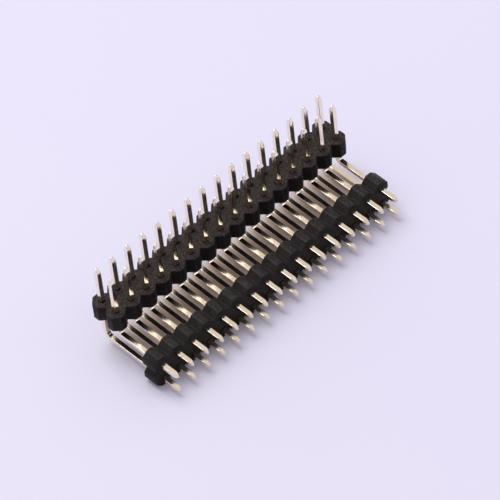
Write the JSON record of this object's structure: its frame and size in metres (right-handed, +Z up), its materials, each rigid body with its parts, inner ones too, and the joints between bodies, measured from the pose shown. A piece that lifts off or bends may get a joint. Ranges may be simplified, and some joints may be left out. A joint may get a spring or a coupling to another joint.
{
  "type": "pin header",
  "caption": "Right-angle double-row pin header: square gold pins, bent once, stand up from one black strip and run forwards through a second strip on edge.",
  "frame": {"origin": "bottom centre of the whole part, level with the foot of the board insulator", "axes": "+X along the strip, +Z up along the mating ends, -Y forwards along the solder tails"},
  "size_m": [0.0406, 0.0144, 0.0139],
  "materials": {
    "insulator": "fine moulded matt, near black",
    "pin": "bright gold plating"
  },
  "bodies": {
    "root": {"upright_insulator": "insulator", "board_insulator": "insulator", "inner_pin_01": "pin", "inner_pin_02": "pin", "inner_pin_03": "pin", "inner_pin_04": "pin", "inner_pin_05": "pin", "inner_pin_06": "pin", "inner_pin_07": "pin", "inner_pin_08": "pin", "inner_pin_09": "pin", "inner_pin_10": "pin", "inner_pin_11": "pin", "inner_pin_12": "pin", "inner_pin_13": "pin", "inner_pin_14": "pin", "inner_pin_15": "pin", "inner_pin_16": "pin", "outer_pin_01": "pin", "outer_pin_02": "pin", "outer_pin_03": "pin", "outer_pin_04": "pin", "outer_pin_05": "pin", "outer_pin_06": "pin", "outer_pin_07": "pin", "outer_pin_08": "pin", "outer_pin_09": "pin", "outer_pin_10": "pin", "outer_pin_11": "pin", "outer_pin_12": "pin", "outer_pin_13": "pin", "outer_pin_14": "pin", "outer_pin_15": "pin", "outer_pin_16": "pin"}
  },
  "joints": []
}
